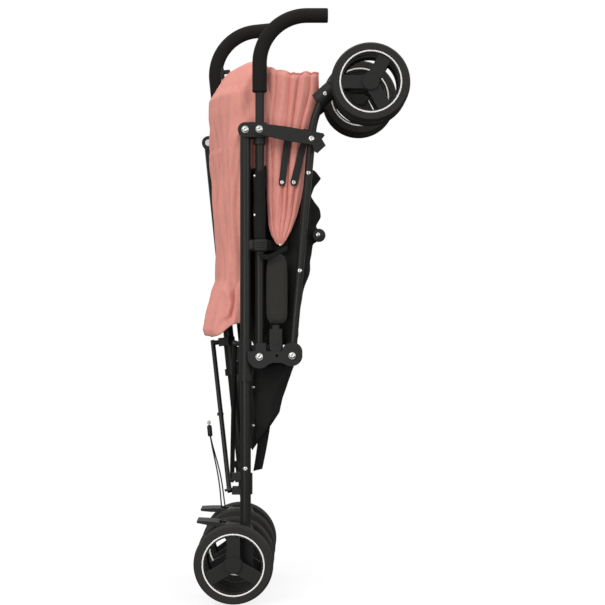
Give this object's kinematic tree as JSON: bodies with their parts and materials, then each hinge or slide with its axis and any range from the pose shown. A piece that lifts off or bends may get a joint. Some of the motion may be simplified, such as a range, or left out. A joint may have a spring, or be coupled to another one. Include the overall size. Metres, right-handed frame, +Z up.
{
  "type": "folded umbrella stroller",
  "caption": "Folded umbrella stroller with hooked foam-grip handles, twin wheels on swivel casters, cloth hood, seat and basket, and a frame that unfolds and widens.",
  "frame": {"origin": "floor point under the right side's rear axle, midway between the two sides", "axes": "+X to the stroller's front, +Y to its left side, +Z up"},
  "size_m": [0.3985, 0.306, 1.1007],
  "materials": {
    "frame_tube": "satin powder coat",
    "black_plastic": "moulded, fine grain",
    "steel": "zinc plated",
    "tyre": "foamed rubber",
    "foam": "closed-cell foam",
    "black_cloth": "woven polyester",
    "pink_cloth": "woven polyester",
    "black_mesh": "mesh",
    "cable": "sheathed wire"
  },
  "bodies": {
    "right_rear": {"right_rear_leg": "frame_tube", "right_leg_lug": "black_plastic", "right_brake_housing": "black_plastic", "brake_cable": "cable"},
    "right_side": {"right_side_tube": "frame_tube", "right_top_bracket": "black_plastic", "right_bracket_rivets": "steel", "right_hood_wing": "pink_cloth", "right_hood_bows": "black_plastic", "transport_catch": "black_plastic", "seat": "black_cloth", "basket": "black_mesh"},
    "hood": {"hood": "pink_cloth"},
    "left_rear": {"left_rear_leg": "frame_tube", "left_leg_lug": "black_plastic", "left_brake_housing": "black_plastic"},
    "left_side": {"left_side_tube": "frame_tube", "left_top_bracket": "black_plastic", "left_bracket_rivets": "steel", "left_hood_wing": "pink_cloth", "left_hood_bows": "black_plastic"},
    "right_sleeve": {"right_leg_sleeve": "black_plastic"},
    "right_pedal": {"right_brake_pedal": "black_plastic"},
    "right_rear_wheels": {"right_rear_axle": "steel", "right_rear_rims": "black_plastic", "right_rear_tyres": "tyre"},
    "right_brace": {"right_brace_bar": "frame_tube"},
    "right_handle": {"right_handle_tube": "frame_tube", "right_grip": "foam"},
    "right_knuckle": {"right_knuckle": "black_plastic", "right_knuckle_pins": "steel", "right_bumper_clip": "black_plastic", "right_bumper_pad": "black_cloth"},
    "right_button": {"right_bumper_button": "black_plastic"},
    "right_front": {"right_front_leg": "frame_tube", "right_caster_housing": "black_plastic", "catch_stud": "steel"},
    "right_caster": {"right_caster_fork": "black_plastic"},
    "right_front_wheels": {"right_front_axle": "steel", "right_front_rims": "black_plastic", "right_front_tyres": "tyre"},
    "left_sleeve": {"left_leg_sleeve": "black_plastic"},
    "left_pedal": {"left_brake_pedal": "black_plastic"},
    "left_rear_wheels": {"left_rear_axle": "steel", "left_rear_rims": "black_plastic", "left_rear_tyres": "tyre"},
    "left_brace": {"left_brace_bar": "frame_tube"},
    "left_handle": {"left_handle_tube": "frame_tube", "left_grip": "foam"},
    "left_knuckle": {"left_knuckle": "black_plastic", "left_knuckle_pins": "steel", "left_bumper_clip": "black_plastic", "left_bumper_pad": "black_cloth"},
    "left_button": {"left_bumper_button": "black_plastic"},
    "left_front": {"left_front_leg": "frame_tube", "left_caster_housing": "black_plastic"},
    "left_caster": {"left_caster_fork": "black_plastic"},
    "left_front_wheels": {"left_front_axle": "steel", "left_front_rims": "black_plastic", "left_front_tyres": "tyre"}
  },
  "joints": [
    {"name": "fold", "type": "hinge", "parent": "right_rear", "child": "right_side", "pos_m": [0.02, -0.096, 0.863], "axis": [0, -1, 0], "range_deg": [0, 40], "deforming": ["hood", "seat", "basket", "brake_cable"]},
    {"name": "hood_level", "type": "hinge", "parent": "right_side", "child": "hood", "pos_m": [0.02, -0.096, 0.863], "axis": [0, 1, 0], "range_deg": [0, 5.8]},
    {"name": "width", "type": "slide", "parent": "hood", "child": "left_side", "axis": [0.5384, 0.8426, 0.0136], "range_m": [0, 0.14857]},
    {"name": "left_fold", "type": "hinge", "parent": "left_side", "child": "left_rear", "pos_m": [-0.05999, 0.096, 0.86097], "axis": [0, 1, 0], "range_deg": [0, 40]},
    {"name": "right_knuckle_pivot", "type": "hinge", "parent": "right_side", "child": "right_knuckle", "pos_m": [0.046, -0.096, 0.447], "axis": [0, 1, 0], "range_deg": [0, 86]},
    {"name": "right_front_leg_pivot", "type": "hinge", "parent": "right_knuckle", "child": "right_front", "pos_m": [0.106, -0.096, 0.449], "axis": [0, 1, 0], "range_deg": [0, 86]},
    {"name": "right_brace_pivot", "type": "hinge", "parent": "right_rear", "child": "right_brace", "pos_m": [-0.011, -0.076, 0.199], "axis": [-0.9732, 0.1045, -0.205], "range_deg": [0, 34.15]},
    {"name": "right_sleeve_slide", "type": "slide", "parent": "right_rear", "child": "right_sleeve", "axis": [0, 0, -1], "range_m": [0, 0.12976]},
    {"name": "right_handle_turn", "type": "hinge", "parent": "right_side", "child": "right_handle", "pos_m": [0.046, -0.096, 0.9], "axis": [0, 0, -1], "range_deg": [0, 180]},
    {"name": "right_pedal", "type": "hinge", "parent": "right_rear", "child": "right_pedal", "pos_m": [-0.014, -0.096, 0.1325], "axis": [0, -1, 0], "range_deg": [0, 18]},
    {"name": "right_rear_spin", "type": "hinge", "parent": "right_rear", "child": "right_rear_wheels", "pos_m": [0, -0.096, 0.0725], "axis": [0, 1, 0], "continuous": true},
    {"name": "right_swivel", "type": "hinge", "parent": "right_front", "child": "right_caster", "pos_m": [0.16652, -0.096, 0.9284], "axis": [0.7431, 0, 0.6691], "range_deg": [-90, 20]},
    {"name": "right_front_spin", "type": "hinge", "parent": "right_caster", "child": "right_front_wheels", "pos_m": [0.24895, -0.096, 0.94744], "axis": [0, 1, 0], "continuous": true},
    {"name": "right_bumper_push", "type": "slide", "parent": "right_knuckle", "child": "right_button", "axis": [0, 1, 0], "range_m": [0, 0.0015], "stiffness_N_per_m": 300, "springref_m": -0.002},
    {"name": "left_knuckle_pivot", "type": "hinge", "parent": "left_side", "child": "left_knuckle", "pos_m": [0.00792, 0.096, 0.44973], "axis": [0, 1, 0], "range_deg": [0, 86]},
    {"name": "left_front_leg_pivot", "type": "hinge", "parent": "left_knuckle", "child": "left_front", "pos_m": [0.06741, 0.096, 0.45778], "axis": [0, 1, 0], "range_deg": [0, 77.1]},
    {"name": "left_brace_pivot", "type": "hinge", "parent": "left_rear", "child": "left_brace", "pos_m": [-0.01358, 0.076, 0.19827], "axis": [0.9891, -0.104, -0.1047], "range_deg": [0, 34.25]},
    {"name": "left_sleeve_slide", "type": "slide", "parent": "left_rear", "child": "left_sleeve", "axis": [0.1011, 0, -0.9949], "range_m": [0, 0.12976]},
    {"name": "left_handle_turn", "type": "hinge", "parent": "left_side", "child": "left_handle", "pos_m": [-0.03786, 0.096, 0.90041], "axis": [-0.1011, 0, 0.9949], "range_deg": [0, 180]},
    {"name": "left_pedal", "type": "hinge", "parent": "left_rear", "child": "left_pedal", "pos_m": [-0.01999, 0.096, 0.13078], "axis": [0, -1, 0], "range_deg": [0, 18]},
    {"name": "left_rear_spin", "type": "hinge", "parent": "left_rear", "child": "left_rear_wheels", "pos_m": [0, 0.096, 0.0725], "axis": [0, 1, 0], "continuous": true},
    {"name": "left_swivel", "type": "hinge", "parent": "left_front", "child": "left_caster", "pos_m": [0.15377, 0.096, 0.93321], "axis": [0.7782, 0, 0.628], "range_deg": [-20, 90]},
    {"name": "left_front_spin", "type": "hinge", "parent": "left_caster", "child": "left_front_wheels", "pos_m": [0.2371, 0.096, 0.94777], "axis": [0, 1, 0], "continuous": true},
    {"name": "left_bumper_push", "type": "slide", "parent": "left_knuckle", "child": "left_button", "axis": [0, -1, 0], "range_m": [0, 0.0015], "stiffness_N_per_m": 300, "springref_m": -0.002}
  ],
  "couplings": [
    {"joint": "hood_level", "follows": "fold", "ratio": 0.14499},
    {"joint": "width", "follows": "fold", "m_per_rad": 0.2128},
    {"joint": "left_fold", "follows": "fold", "ratio": 0.9999},
    {"joint": "right_knuckle_pivot", "follows": "fold", "ratio": 2.1498},
    {"joint": "right_front_leg_pivot", "follows": "fold", "ratio": 2.1498},
    {"joint": "right_brace_pivot", "follows": "fold", "ratio": 0.85358},
    {"joint": "right_sleeve_slide", "follows": "fold", "m_per_rad": 0.18586},
    {"joint": "left_knuckle_pivot", "follows": "fold", "ratio": 2.1498},
    {"joint": "left_front_leg_pivot", "follows": "fold", "ratio": 1.9273},
    {"joint": "left_brace_pivot", "follows": "fold", "ratio": 0.85617},
    {"joint": "left_sleeve_slide", "follows": "fold", "m_per_rad": 0.18586},
    {"joint": "left_pedal", "follows": "right_pedal", "ratio": 0.9999}
  ]
}
